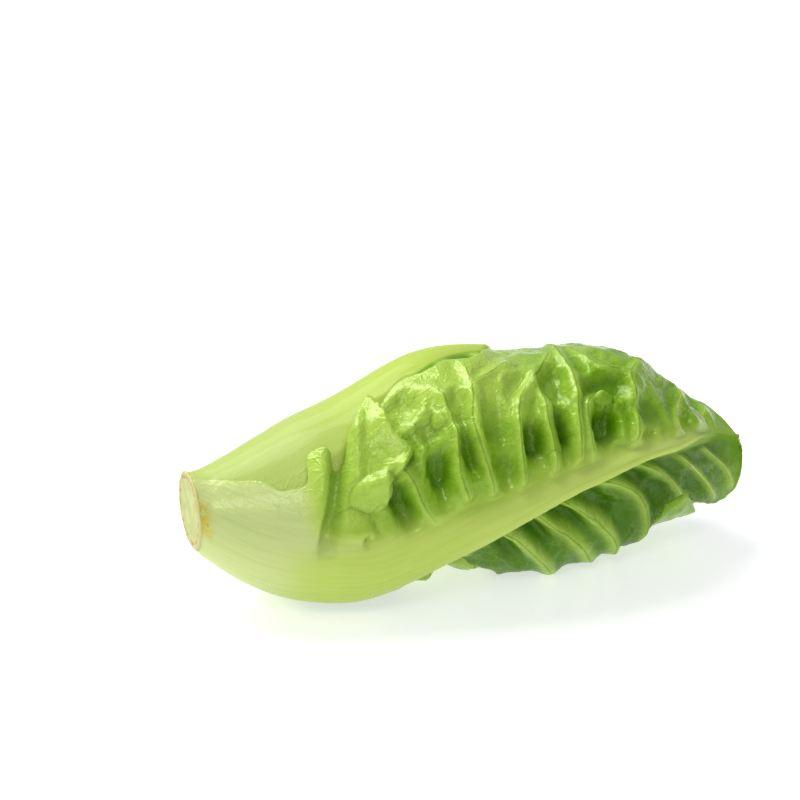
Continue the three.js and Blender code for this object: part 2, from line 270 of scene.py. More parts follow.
# Hollows of the blade: length, angle, half-length, half-height and depth in millimetres,
# and how far each leans over, in degrees.
outer_1.dents = (
    (48.6, 76, 2.5, 7.5, 3.6, 8), (58.3, 66, 2.9, 8.0, 3.0, 4), (65.8, 63, 2.5, 5.0, 2.6, 0),
    (66.5, 41, 3.0, 5.5, 2.0, 0), (53.8, 25, 3.6, 4.5, 1.8, -20), (57.5, 45, 2.6, 4.0, 1.4, 10),
    (74.4, 50, 2.8, 8.0, 1.5, -6), (74.5, 73, 3.0, 4.5, 1.6, 0), (83.7, 60, 3.1, 5.0, 3.6, 0),
    (94.0, 29, 3.4, 6.0, 2.4, -14), (92.5, 55, 1.9, 7.0, 4.6, -3), (84.5, 30, 3.0, 5.0, 1.0, -35),
    (105.0, 57, 3.9, 5.2, 4.0, -6), (109.5, 35, 6.5, 4.2, 2.0, 0), (120.0, 50, 4.4, 6.0, 1.9, -8),
    (108.5, 70, 2.6, 1.8, 1.4, 0), (118.0, 67, 2.8, 2.6, 1.6, 0), (123.5, 66, 2.2, 2.2, 1.2, 0),
    (128.5, 38, 5.5, 8.0, 1.0, 0), (134, 58, 3.2, 4.0, 1.0, 0), (141, 30, 3.5, 6.0, 0.8, 10),
    (78.5, 128, 2.2, 6.0, 1.8, 35), (86.5, 118, 2.3, 7.0, 2.0, 42), (96.0, 113, 2.6, 8.0, 2.4, 38),
    (105.0, 106, 3.2, 8.0, 2.6, 36), (116.0, 97, 3.0, 7.0, 1.8, 32), (124.5, 112, 3.0, 7.0, 1.6, 25),
    (112.5, 124, 2.6, 6.0, 1.8, 15), (136.0, 103, 3.0, 6.0, 1.2, 25), (61.5, 129, 1.8, 4.0, 1.6, 20),
)
# Swollen cushions of the blade, given in the same way.
outer_1.cushions = (
    (41.2, 64, 5.2, 4.0, 1.5, 0), (35.8, 83, 4.1, 5.6, 1.5, 20), (43.6, 83, 2.2, 4.6, 1.0, 15),
    (52.6, 38, 2.3, 1.8, 0.9, 0), (56.6, 36, 2.2, 2.0, 0.9, 0), (60.4, 41, 1.9, 2.2, 0.8, 0),
    (139.5, 45, 3.6, 5.4, 0.8, -20), (106.5, 41, 2.4, 1.9, 0.8, 0), (88.6, 71, 1.8, 2.6, 0.7, 0),
)

outer_2 = Leaf(1, "outer_leaf_2", 190, 150)
outer_2.rib = line_through((0, -12), (60, -14), (150, -22))
outer_2.upper = line_through(
    (0, -92), (20, -88), (50, -80), (90, -112), (125, -118), (145, -92), (151, -60))
outer_2.lower = line_through((0, 66), (20, 68), (50, 72), (90, 90), (125, 70), (145, 40), (151, 10))
outer_2.half = line_through((0, 9), (20, 14), (40, 15), (60, 10), (80, 5), (110, 2.5), (151, 0.5))
outer_2.rise = line_through((0, 0.2), (20, 1.4), (50, 2.0), (75, 1.6), (110, 1.2), (151, 0.2))

LAYERS = (("outer_leaf", 150, 120), ("middle_leaf", 80, 64), ("heart_leaf", 56, 44))
leaves = [outer_1, outer_2]
for rank in range(2, 12):
    kind, rows, columns = LAYERS[rank // 4]
    leaves.append(Leaf(rank, f"{kind}_{rank % 4 + 1}", rows, columns))


def smooth(value, low, high):
    """A soft step: 0 at low and 1 at high."""
    share = np.clip((np.asarray(value, float) - low) / (high - low), 0, 1)
    return share * share * (3 - 2 * share)


def bell(value, centre, width):
    """A hump of 1 at the centre, gone at about two widths from it."""
    return np.exp(-(((np.asarray(value, float) - centre) / width) ** 2))


def wander(x, y, scale, seed, depth=1):
    """Smooth noise from about -1 to 1 over a flat field."""
    flat = np.stack([x.ravel() / scale, y.ravel() / scale], -1)
    if depth == 1:
        made = [noise.noise((a, b, seed)) for a, b in flat]
    else:
        made = [noise.fractal((a, b, seed), 0.8, 2.1, depth) for a, b in flat]
    return np.array(made).reshape(x.shape)


def quilt(x, y, size, seed):
    """Cells of a random net: how far a point is from its cell's edge, and the cell's own value."""
    table = np.random.default_rng(seed).uniform(0, 1, (3, 64, 64))
    across, along = np.floor(x / size).astype(int), np.floor(y / size).astype(int)
    nearest, second = np.full(x.shape, 1e9), np.full(x.shape, 1e9)
    own = np.zeros(x.shape)
    for i in (-1, 0, 1):
        for j in (-1, 0, 1):
            a, b = (across + i) % 64, (along + j) % 64
            off_x = (across + i + table[0, a, b]) * size - x
            off_y = (along + j + table[1, a, b]) * size - y
            away = np.hypot(off_x, off_y)
            closer = away < nearest
            second = np.where(closer, nearest, np.minimum(second, away))
            own = np.where(closer, table[2, a, b], own)
            nearest = np.where(closer, away, nearest)
    return (second - nearest) / 2, own


def inside(leaf, x, angle):
    """How far a point lies within a leaf's margins, in millimetres."""
    middle = leaf.rib(x)
    off = (angle - middle + 180) % 360 - 180
    arc = np.radians(1) * head_radius(x)
    within = np.minimum(off - (leaf.upper(x) - middle), (leaf.lower(x) - middle) - off) * arc
    return np.minimum(within, (leaf.tip - x) * 1.2)


def vein_field(leaf, side, x, across, wobble):
    """Where a point of the blade lies among its side veins and the walls between them."""
    veins = leaf.veins[side]
    along = x - VEIN_LEAN * across - wobble
    strip = np.interp(along, veins, np.arange(len(veins)))
    strip = np.where(along < veins[0], (along - veins[0]) / 10, strip)
    strip = np.where(along > veins[-1], len(veins) - 1 + (along - veins[-1]) / 10, strip)
    row = np.floor(strip).astype(int)
    share = strip - row
    known = np.clip(row, 0, len(veins) - 2)
    gap = np.where(row == known, veins[known + 1] - veins[known], 10.0)
    to_vein = np.minimum(share, 1 - share) * gap
    random = np.random.default_rng(700 + 10 * leaf.rank + side)
    length = random.uniform(*CELL_LENGTH, 64)[row % 64]
    offset = random.uniform(-4, 3, 64)[row % 64]
    tilt = random.uniform(-0.9, 0.9, 64)[row % 64]
    cell = (across - offset + tilt * (share - 0.5) * gap) / length + 4
    cell_row = np.floor(cell).astype(int)
    cell_share = cell - cell_row
    to_wall = np.minimum(cell_share, 1 - cell_share) * length
    depths = random.uniform(0.45, 1.0, (64, 32))
    blend = smooth(cell_share, 0.0, 1.0)
    low = depths[row % 64, cell_row % 32]
    high = depths[row % 64, (cell_row + 1) % 32]
    depth = low + (high - low) * blend
    vein = np.where(share < 0.5, share, share - 1) * gap
    wall = np.where(cell_share < 0.5, cell_share, cell_share - 1) * length
    return vein, wall, to_vein, to_wall, depth


def distance_to(line, x, angle, arc):
    """How far points are from a drawn line, on which side of it, and how far along it."""
    steps = np.linspace(0, len(line) - 1, 6 * (len(line) - 1) + 1)
    line_x, line_angle = (line_through(*enumerate(values))(steps) for values in zip(*line))
    nearest, side, share = np.full(len(x), 1e9), np.ones(len(x)), np.zeros(len(x))
    for k in range(len(steps) - 1):
        start = line_x[k] - x, (line_angle[k] - angle) * arc
        run = line_x[k + 1] - line_x[k], (line_angle[k + 1] - line_angle[k]) * arc
        t = np.clip(-(start[0] * run[0] + start[1] * run[1]) / (run[0] ** 2 + run[1] ** 2), 0, 1)
        away = np.hypot(start[0] + t * run[0], start[1] + t * run[1])
        closer = away < nearest
        nearest = np.where(closer, away, nearest)
        side = np.where(closer, np.sign(start[0] * run[1] - start[1] * run[0]), side)
        share = np.where(closer, (k + t) / (len(steps) - 1), share)
    return nearest, side, share


def oval(x, angle, arc, spot):
    """How far points are from the middle of an oval spot, where 1 is its edge."""
    centre, turn, half_x, half_y, _, lean = spot
    away_x, away_y = x - centre, (angle - turn) * arc
    c, s = math.cos(math.radians(lean)), math.sin(math.radians(lean))
    return np.hypot((away_x * c - away_y * s) / half_x, (away_x * s + away_y * c) / half_y)


def drawn_relief(leaf, x, angle, arc, side, fade):
    """Ridges, hollows and cushions of a leaf that has its own, and the lines that colour follows."""
    ridge, hollow, raised = np.zeros(len(x)), np.zeros(len(x)), np.zeros(len(x))
    to_vein, vein = np.full(len(x), 30.0), np.full(len(x), 30.0)
    # ridges stand higher on the lower blade
    boost = (1.25, 1.6)
    for half, lines in enumerate(leaf.lines):
        for width, height, line in lines:
            away, turn, share = distance_to(line, x, angle, arc)
            away = np.where(side == half, away, 30.0)
            hump = boost[half] * height * (1 - 0.8 * share) * np.exp(-((away / width) ** 2))
            ridge = np.maximum(ridge, hump)
            vein = np.where(away < to_vein, away * turn, vein)
            to_vein = np.minimum(to_vein, away)
    uneven = 0.3 * wander(x, angle * arc, 5.5, 6.6) + 0.16 * wander(x, angle * arc, 2.6, 2.9)
    for spot in leaf.dents:
        d = oval(x, angle, arc, spot)
        hollow = np.maximum(hollow, spot[4] * (1 - smooth(d + uneven, 0.45, 1.35)))
        raised = raised + 0.45 * np.exp(-(((d + uneven - 1.5) / 0.22) ** 2))
    to_ring, ring = np.full(len(x), 30.0), np.full(len(x), 30.0)
    for spot in leaf.cushions:
        d = oval(x, angle, arc, spot) + 0.5 * uneven
        raised = raised + spot[4] * np.exp(-(d ** 4)) - 0.35 * np.exp(-(((d - 1.2) / 0.16) ** 2))
        away = (d - 1.2) * min(spot[2], spot[3])
        ring = np.where(np.abs(away) < to_ring, away, ring)
        to_ring = np.minimum(to_ring, np.abs(away))
        hollow = hollow * smooth(d, 0.9, 1.25)
    return ridge * fade, hollow, raised, to_vein, vein, to_ring, ring


def leaf_grid(leaf):
    """A flat grid for a leaf, with how far each point is along it (0 to 1) and across it (-1 to 1)."""
    bpy.ops.mesh.primitive_grid_add(x_subdivisions=leaf.rows, y_subdivisions=leaf.columns, size=2)
    piece = bpy.context.object
    piece.name = leaf.name + "_skin"
    flat = np.empty(len(piece.data.vertices) * 3)
    piece.data.vertices.foreach_get("co", flat)
    flat = flat.reshape(-1, 3)
    return piece, (flat[:, 0] + 1) / 2, -flat[:, 1]


def lie_under(leaf, x, angle, scale):
    """The radius at which a leaf lies under those outside it, and how far they cover it."""
    cover = np.zeros(len(x))
    radius = head_radius(x) - 0.5 * leaf.rank * scale
    for other in leaves[: leaf.rank]:
        present = smooth(inside(other, x, angle), 0.0, 8.0) * smooth(other.tip - x, 0, 6)
        thick = other.room * (0.35 + 0.65 * smooth(x, 20, 55)) if other.rank < 4 else other.room
        radius = radius - thick * scale ** 1.3 * present
        if other.rank == 0:
            radius = radius - extra_room(x, angle) * present
        cover = np.maximum(cover, present)
    return radius, cover


def keep_on_points(mesh, key, values):
    """Stores one value for each point of a mesh, which its material reads."""
    store = mesh.attributes.new(key, "FLOAT", "POINT")
    store.data.foreach_set("value", np.ascontiguousarray(values, dtype=np.float32))


def shape_leaf(leaf):
    """A leaf's outer face, from a grid of rows along the head and columns across the leaf."""
    piece, u, v = leaf_grid(leaf)
    length = leaf.tip - leaf.attach
    x = leaf.attach + length * (u - 0.02 * np.sin(2 * np.pi * u))
    # the tip is finely toothed
    teeth = 0.7 * wander(v * 40, v, 4.0, 71.3 + leaf.rank) + 0.4 * wander(v * 40, v, 1.6, 8.1)
    x = x + teeth * smooth(u, 0.94, 1)
    middle = leaf.rib(x)
    arc = np.radians(1) * head_radius(x)
    share = (x - leaf.attach) / length
    over = np.clip((share - 0.95) / 0.05, 0, 1)
    close = np.maximum(np.sqrt(1 - 0.93 * over ** 2), 0.1)
    ragged = 0.7 * wander(x, v * 3, 5.0, 3.1 + leaf.rank) + 0.5 * wander(x, v * 3, 2.1, 9.1 + leaf.rank)
    ragged = ragged * smooth(x, 12, 45) * (0.4 + 0.6 * smooth(x, 40, 90))
    up = ((middle - leaf.upper(x)) * arc + ragged) * close
    down = ((leaf.lower(x) - middle) * arc + ragged) * close
    # columns spread evenly from the rib out to each margin
    t = np.where(v < 0, v * up, v * down)
    angle = middle + t / arc
    side = (t > 0).astype(int)
    half = leaf.half(x)
    off_rib = np.abs(t) - half
    across = np.maximum(off_rib, 0)
    wobble = 3.0 * wander(x, t, 19.0, 1.3 + leaf.rank) + 0.9 * wander(x, t, 6.5, 5.3 + leaf.rank)
    wobble = wobble * smooth(across, 0, 6)

    margin = np.minimum(t + up, down - t)
    margin = np.minimum(margin, (leaf.tip - x) * 1.5)
    scale = head_radius(x) / BELLY_RADIUS
    radius, cover = lie_under(leaf, x, angle, scale)

    # the rib, standing out of the blade
    crown = np.clip(1 - (np.abs(t) / (half * 1.25)) ** 2, 0, 1) ** 1.2
    rib = leaf.rise(x) * crown * (1 - 0.7 * cover)
    radius = radius + rib * scale

    # hollows between the side veins, and the walls that part them
    start = smooth(x, 34, 56)
    if leaf.rank == 0:
        start = np.where(side == 0, smooth(x - groove_line(angle), 1.0, 4.0), smooth(x, 52, 66))
    fade = smooth(off_rib, 0.0, 5.0) * (1 - 0.5 * smooth(off_rib, 16, 34))
    fade = fade * start * (1 - 0.55 * smooth(x / leaf.tip, 0.72, 0.9)) * smooth(margin, 0.0, 7.0)
    free = 1 - 0.85 * cover
    width = 2.3 + 0.8 * wander(x, t, 12.0, 15.5 + leaf.rank)
    if leaf.rank == 0:
        near_rib = smooth(off_rib, -0.5, 3.5) * smooth(margin, 0.0, 5.0)
        ridge, hollow, raised, to_vein, vein, to_ring, ring = drawn_relief(
            leaf, x + 0.35 * wobble, angle, arc, side, near_rib * start)
        dip = (1.2 + 0.9 * wander(x, t, 9.0, 19.0)) * (1 - np.exp(-((to_vein / width) ** 2))) * fade
        radius = radius - dip - hollow * near_rib + (ridge + raised) * near_rib
        # the dips between the veins and the fold beside the flap go into the hollow value, which the
        # material paints darker as painted shade
        groove = np.exp(-(((x - groove_line(angle)) / 2.6) ** 2)) * (side == 0) * smooth(angle, 94, 84)
        hollow = np.maximum(np.clip((hollow * near_rib + 0.5 * dip) / 4.4, 0, 1), 0.5 * groove)
        ridge = np.clip(ridge, 0, 1)
    else:
        halves = [vein_field(leaf, s, x, across, wobble) for s in (0, 1)]
        vein, ring, to_vein, to_ring, depth = (np.where(side == 1, b, a) for a, b in zip(*halves))
        bowl = (1 - np.exp(-((to_vein / width) ** 2))) * (1 - 0.62 * np.exp(-((to_ring / 2.2) ** 2)))
        hollow = bowl * depth * fade
        radius = radius - HOLLOW_DEPTH * hollow * free * np.minimum(scale, 1)
        ridge = np.exp(-((to_vein / 1.6) ** 2)) * fade
        radius = radius + ridge * free * (0.5 + 0.9 * wander(x, t, 9.0, 61.0 + leaf.rank))

    # crumpling of the thin blade, finer and finer
    thin = smooth(off_rib, 0, 8) * start
    radius = radius + 0.6 * thin * free * wander(x, t, 7.5, 21.7 + leaf.rank, 2)
    radius = radius + 0.1 * thin * wander(x * 1.6, t * 0.55, 2.8, 33.7 + leaf.rank, 2) * (1 - 0.5 * cover)
    to_edge, own = quilt(x + 1.2 * wander(x, t, 5.0, 88.0), t, 5.2, 90 + leaf.rank)
    puffed = smooth(wander(x, t, 22.0, 4.4 + leaf.rank), -0.15, 0.3) * thin * free
    radius = radius + (0.65 * own - 0.12) * (1 - np.exp(-((to_edge / 0.9) ** 2))) * puffed
    # the free margin waves
    wave = smooth(margin, 7.0, 0.0) * smooth(x, 45, 70) * free
    radius = radius + 0.9 * wave * wander(x, v, 8.0, 50.1 + leaf.rank)

    if leaf.rank == 0:
        radius = radius + outer_details(x, angle, off_rib, side)
    # the base comes out of the stem's skin
    radius = radius - 0.5 * smooth(x - leaf.attach, 2.0, 0)
    # ridges lean over the hollows beside them
    x = x - 0.6 * ridge * free * np.where(side == 0, 1, -1)
    # how pale the thick tissue near the base is
    pale = smooth(x, 64, 12)
    if leaf.rank == 0:
        lobe = smooth(x, 21, 29.5) * smooth(angle, 94, 74)
        blade = smooth(off_rib + 1.6 * wander(x, t, 8.0, 12.5), -1.2, 3.0) * (side == 0)
        blade = blade * np.maximum(smooth(x - groove_line(angle), -3.0, 0.5), lobe)
        pale = smooth(x, 74, 20) * (1 - blade) * (1 - 0.9 * smooth(angle, 76, 106) * smooth(x, 9, 32))

    points = place(x, angle, radius)
    # where the head lies, each leaf is pressed flat just above the one outside it
    points[:, 2] = np.maximum(points[:, 2], PRESSED_STEP * MM * leaf.rank)
    mesh = piece.data
    mesh.vertices.foreach_set("co", points.ravel())
    for key, values in (
        ("along", x), ("across", t), ("off_rib", off_rib), ("vein", vein), ("ring", ring), ("pale", pale),
        ("hollow", hollow), ("margin", margin), ("to_vein", to_vein), ("to_ring", to_ring), ("fade", fade),
        ("side", side), ("angle", angle),
    ):
        keep_on_points(mesh, key, values)
    mesh.update()
    return piece


def groove_line(angle):
    """Where the deep groove beside the flap lies, at each angle."""
    return 35.0 - 5.4 * (angle - 38) / 44


def extra_room(x, angle):
    """How much further in the other leaves lie, where the outermost one is folded or tucked in."""
    turn = (angle + 60) % 360 - 60
    off = (turn - outer_1.rib(x)) * np.radians(1) * head_radius(x) - outer_1.half(x)
    below = smooth(off, -7.0, -1.0) * smooth(x, 48, 62) * smooth(x, 150, 128) * smooth(turn, 215, 190)
    groove = np.exp(-((np.abs(x - groove_line(turn)) / 5.0) ** 3))
    groove = groove * smooth(turn, 18, 30) * smooth(turn, 104, 92)
    return 5.0 * below + 3.0 * groove


def outer_details(x, angle, off_rib, side):
    """The outermost leaf's own features: its flap, the fold beside it, and its tucked lower half."""
    up = side == 0
    lift = np.zeros(len(x))
    # the deep fold that runs from the margin down to the rib, and the ridge beside it
    fold = groove_line(angle)
    reach = smooth(angle, 98, 84) * up
    lift -= 3.6 * np.exp(-((np.abs(x - fold) / 2.2) ** 3)) * reach
    lift += 0.9 * bell(x, fold + 4.4, 1.8) * reach * smooth(angle, 62, 50)
    lift += 1.3 * bell(x, fold - 4.2, 2.4) * reach * smooth(angle, 88, 52)
    # the flap: it rises to a ragged edge and drops behind it
    edge_line = line_through(
        (5, 46), (9, 47.2), (24, 48.2), (36, 48.8), (46, 51.2), (51, 52.2), (55, 50), (62, 45.5), (68, 43))
    edge = edge_line(angle) + 0.5 * wander(angle, x, 4.0, 77.0)
    inside_flap = smooth(x, edge + 0.45, edge - 0.35)
    reach = smooth(angle, 67, 56) * up
    lift += reach * inside_flap * (1.3 + 1.6 * smooth(x, edge - 12, edge)) * smooth(x, 34, 40)
    lift -= reach * (1 - inside_flap) * 1.4 * np.exp(-np.maximum(x - edge, 0) / 3.5)
    # the small hole under the swollen cushions
    lift -= 1.9 * np.exp(-(((x - 38.4) / 1.0) ** 2) - (((angle - 89) / 2.6) ** 2))
    # below the rib the blade is tucked in, so the rib stands over it
    tuck = smooth(off_rib, -0.6, 1.4) * (side == 1) * smooth(x, 50, 66)
    lift -= tuck * (5.0 * smooth(x, 140, 112) + 0.9 * smooth(x, 150, 136))
    # the lower blade swings back out to lie on the table
    lift += (side == 1) * 6.8 * smooth(angle, 108, 150) * smooth(x, 62, 84) * smooth(x, 134, 118)
    return lift


# ---------------------------------------------------------------- leaf tissue
# Fresh, wet-looking leaf. The blade is green, with paler veins and a fine net between them, and
# its hollows and folds are painted darker as painted shade. The rib and the base are thick, pale
# and streaked lengthwise, with a little brown sap where they were cut.


class Field:
    """A shader socket that ordinary arithmetic works on."""

    def __init__(self, tree, socket):
        self.tree = tree
        self.socket = socket

    def node(self, kind, output=0, settings=None, **values):
        """A new node with its settings and inputs; an input is given by name, or by number as i0, i1."""
        made = self.tree.nodes.new(kind)
        for key, value in (settings or {}).items():
            setattr(made, key, value)
        for key, value in values.items():
            name = int(key[1:]) if key[0] == "i" and key[1:].isdigit() else key.replace("_", " ")
            socket = made.inputs[name]
            if isinstance(value, Field):
                self.tree.links.new(value.socket, socket)
            else:
                socket.default_value = value
        return Field(self.tree, made.outputs[output])

    def math(self, operation, *values):
        """A Math node on values or fields."""
        inputs = {f"i{i}": value for i, value in enumerate(values)}
        return self.node("ShaderNodeMath", 0, {"operation": operation}, **inputs)

    def __add__(self, other):
        return self.math("ADD", self, other)

    def __sub__(self, other):
        return self.math("SUBTRACT", self, other)

    def __mul__(self, other):
        return self.math("MULTIPLY", self, other)

    def __rsub__(self, other):
        return self.math("SUBTRACT", other, self)

    def __abs__(self):
        return self.math("ABSOLUTE", self)

    __radd__ = __add__
    __rmul__ = __mul__

    def ramp(self, low, high):
        """0 at low, 1 at high and smooth between them."""
        settings = {"interpolation_type": "SMOOTHSTEP"}
        values = {"i0": self, "i1": low, "i2": high, "i3": 0.0, "i4": 1.0}
        return self.node("ShaderNodeMapRange", 0, settings, **values)

    def mix(self, other, factor):
        """This colour, turned to other by factor."""
        settings = {"data_type": "RGBA"}
        return self.node("ShaderNodeMix", 2, settings, i0=factor, i6=self, i7=other)


def colour(red, green, blue):
    """A colour given as 0 to 255 screen values."""
    shares = [c / 255 for c in (red, green, blue)]
    return (*(((s + 0.055) / 1.055) ** 2.4 if s > 10 / 255 else s / 12.92 for s in shares), 1)


def feed(field, shader, name):
    """Leads a field into one of a shader's inputs."""
    field.tree.links.new(field.socket, shader.inputs[name])


def leaf_material(name, blade, deep, ridge, rib, base):
    """Leaf tissue with its own blade, hollow, vein, rib and base colours."""
    material, shader = new_material(name)
    start = Field(material.node_tree, None)

    def attribute(key):
        return start.node("ShaderNodeAttribute", 2, {"attribute_name": key})

    along, across, off_rib = attribute("along"), attribute("across"), attribute("off_rib")
    vein, ring, hollow = attribute("vein"), attribute("ring"), attribute("hollow")
    margin, fade, pale = attribute("margin"), attribute("fade"), attribute("pale")
    side, angle = attribute("side"), attribute("angle")
    where = start.node("ShaderNodeCombineXYZ", 0, None, X=along, Y=across, Z=0.0)

    def patches(scale, detail=3.0, roughness=0.55):
        values = {"Vector": where, "Scale": scale, "Detail": detail, "Roughness": roughness}
        return start.node("ShaderNodeTexNoise", 0, None, **values)

    def net(scale, warp):
        shift = start.node("ShaderNodeTexNoise", 1, None, Vector=where, Scale=0.5, Detail=2.0)
        scaled = start.node("ShaderNodeVectorMath", 0, {"operation": "SCALE"}, i0=shift, Scale=warp)
        bent = start.node("ShaderNodeVectorMath", 0, {"operation": "ADD"}, i0=where, i1=scaled)
        settings = {"feature": "DISTANCE_TO_EDGE"}
        return start.node("ShaderNodeTexVoronoi", 0, settings, Vector=bent, Scale=scale)

    broad, fine = patches(0.07), patches(0.45, 4.0)
    thin = off_rib.ramp(0.0, 9.0)
    rib_mask = off_rib.ramp(2.0, -1.0)

    # side veins: a fine dark line on a paler ridge; walls between cells the same, fainter
    to_vein, to_ring = attribute("to_vein"), attribute("to_ring")
    vein_line = abs(vein).ramp(0.32, 0.08) * to_vein.ramp(1.5, 0.9) * fade.ramp(0.02, 0.3)
    vein_band = to_vein.ramp(2.2, 0.2) * fade.ramp(0.0, 0.3)
    wall_line = abs(ring).ramp(0.28, 0.06) * to_ring.ramp(1.5, 0.9) * off_rib.ramp(0.5, 3.0)
    net_line = net(0.32, 1.6).ramp(0.07, 0.0) * thin
    fine_line = net(0.85, 0.8).ramp(0.09, 0.0) * thin

    tone = start.node("ShaderNodeRGB", 0)
    tone.socket.default_value = blade
    upper = 1.0 - side
    tone = tone.mix(ridge, broad.ramp(0.35, 0.75) * 0.45)
    # painted shade: the hollows, the dips between the veins and the fold beside the flap are painted darker
    tone = tone.mix(deep, hollow.ramp(0.05, 0.95) * 0.9)
    # the lower blade, which lies in the shade under the head, is painted darker as painted shade; the upper
    # one is painted paler near its flap and its margin, where the light falls, as painted light
    tone = tone.mix(deep, side * off_rib.ramp(0.0, 3.0) * along.ramp(180.0, 122.0) * 0.85)
    # painted light: the top of the upper blade, near its margin, is painted paler where the light falls on
    # it
    lit_near_margin = angle.ramp(64.0, 30.0) * along.ramp(40.0, 52.0) * along.ramp(104.0, 80.0)
    tone = tone.mix(ridge, lit_near_margin * 0.85 * upper)
    # painted light: the flap and the lobe beside it, which face the light, are painted paler
    tone = tone.mix(ridge, angle.ramp(90.0, 70.0) * along.ramp(51.0, 48.0) * (1.0 - hollow) * 0.85 * upper)
    # painted shade: the lower blade towards the tip is painted a darker green
    shade_near_tip = side * off_rib.ramp(0.0, 3.0) * along.ramp(110.0, 122.0) * along.ramp(151.0, 143.0)
    tone = tone.mix(LOWER_TIP_SHADE, shade_near_tip * 0.6)
    tone = tone.mix(ridge, vein_band * 0.5)
    pale_vein = to_vein.ramp(3.4, 0.4) * fade.ramp(0.0, 0.3) * side * along.ramp(130.0, 108.0)
    tone = tone.mix(ridge, pale_vein * 0.75)
    flat = hollow.ramp(0.4, 0.1)
    tone = tone.mix(ridge, net_line * flat * 0.16)
    tone = tone.mix(ridge, fine_line * flat * 0.08)
    tone = tone.mix(deep, fine.ramp(0.5, 0.75) * 0.16)
    tone = tone.mix(deep, vein_line * along.ramp(132.0, 118.0) * 0.5)
    tone = tone.mix(rib, vein_line * along.ramp(118.0, 132.0) * 0.8)
    # on the outermost leaf the wall line runs in the crease round each cushion, and its dark there is
    # painted shade
    tone = tone.mix(deep, wall_line * 0.22)
    tone = tone.mix(deep, net(0.22, 2.2).ramp(0.045, 0.005) * thin * 0.14)
    # the rib's pale colour narrows to a needle towards the tip
    needle = off_rib + along.ramp(124.0, 148.0) * 3.4
    tone = tone.mix(rib, needle.ramp(9.0, 0.5) * 0.5 * upper)
    tone = tone.mix(rib, needle.ramp(3.2, -1.5) * upper)
    tone = tone.mix(rib, (off_rib + along.ramp(124.0, 148.0) * 1.2).ramp(0.9, -0.2) * side)
    tone = tone.mix(rib, pale.ramp(0.0, 0.4))
    tone = tone.mix(base, pale.ramp(0.15, 0.95))
    # lengthwise streaks in the thick tissue, and small water-soaked flecks
    streak_at = start.node("ShaderNodeCombineXYZ", 0, None, X=along * 0.06, Y=across * 0.8, Z=3.0)
    values = {"Vector": streak_at, "Scale": 1.0, "Detail": 4.0, "Roughness": 0.6}
    streaks = start.node("ShaderNodeTexNoise", 0, None, **values)
    thick = off_rib.math("MAXIMUM", off_rib.ramp(4.0, -1.0), pale.ramp(0.1, 0.5))
    tone = tone.mix(blade, streaks.ramp(0.46, 0.72) * thick * 0.13)
    tone = tone.mix(base, streaks.ramp(0.5, 0.3) * thick * 0.2)
    fleck = patches(1.6, 2.0).ramp(0.6, 0.75)
    tone = tone.mix(base, fleck * thick * 0.2)
    tone = tone.mix(RIB_LIGHT, needle.ramp(2.0, -1.5) * along.ramp(66.0, 100.0) * 0.5 * upper)
    tone = tone.mix(ridge, margin.ramp(0.9, 0.1) * 0.5)
    # sap has dried yellow and brown on the cut edge
    stain = along.ramp(3.8, 0.8) * angle.ramp(48.0, 62.0) * angle.ramp(112.0, 92.0)
    tone = tone.mix(SAP_YELLOW, stain * patches(0.5).ramp(0.28, 0.5) * 0.9)
    tone = tone.mix(SAP_BROWN, stain * patches(1.4).ramp(0.56, 0.66) * 0.8)
    feed(tone, shader, "Base Color")

    shine = 0.16 + 0.14 * fine + 0.18 * rib_mask + 0.25 * side
    feed(shine, shader, "Roughness")
    height = net(0.32, 1.6).ramp(0.16, 0.0) * thin * 0.08
    height = height + net(0.85, 0.8).ramp(0.14, 0.0) * thin * 0.03
    height = height + patches(1.1, 4.0) * (0.05 + 0.1 * thin)
    height = height - vein_line * 0.05 + streaks * thick * 0.06
    bump = start.node("ShaderNodeBump", 0, None, Height=height, Strength=0.9, Distance=0.001)
    feed(bump, shader, "Normal")
    shader.inputs["Subsurface Weight"].default_value = 0.25
    shader.inputs["Subsurface Radius"].default_value = (1.0, 1.6, 0.3)
    shader.inputs["Subsurface Scale"].default_value = 0.0012
    shader.inputs["Specular IOR Level"].default_value = 0.5
    shader.inputs["Specular Tint"].default_value = (0.85, 1.0, 0.35, 1)
    shader.inputs["Coat Weight"].default_value = 0.14
    shader.inputs["Coat Roughness"].default_value = 0.1
    return material


# the dark green painted on the lower blade near the tip: painted shade
LOWER_TIP_SHADE = colour(44, 92, 0)
RIB_LIGHT = colour(203, 222, 122)
SAP_YELLOW = colour(206, 186, 60)
SAP_BROWN = colour(176, 122, 44)
PALE = colour(184, 207, 94)
WHITISH = colour(199, 214, 140)
outer_skin = leaf_material(
    "outer_leaf_green", colour(114, 164, 8), colour(64, 116, 0), colour(176, 208, 84), PALE, WHITISH)
# the second leaf faces up into the light, so its copy of the outer tissue has a darker rib and base:
# painted shade
shaded_second_skin = leaf_material(
    "second_leaf_green", colour(118, 168, 10), colour(64, 116, 0), colour(176, 208, 84),
    colour(174, 198, 80), colour(174, 194, 102))
middle_skin = leaf_material(
    "middle_leaf_green", colour(150, 188, 42), colour(100, 148, 10), colour(188, 214, 105), PALE, WHITISH)
heart_skin = leaf_material(
    "heart_leaf_green", colour(192, 210, 82), colour(160, 188, 44), colour(212, 226, 130), PALE, WHITISH)

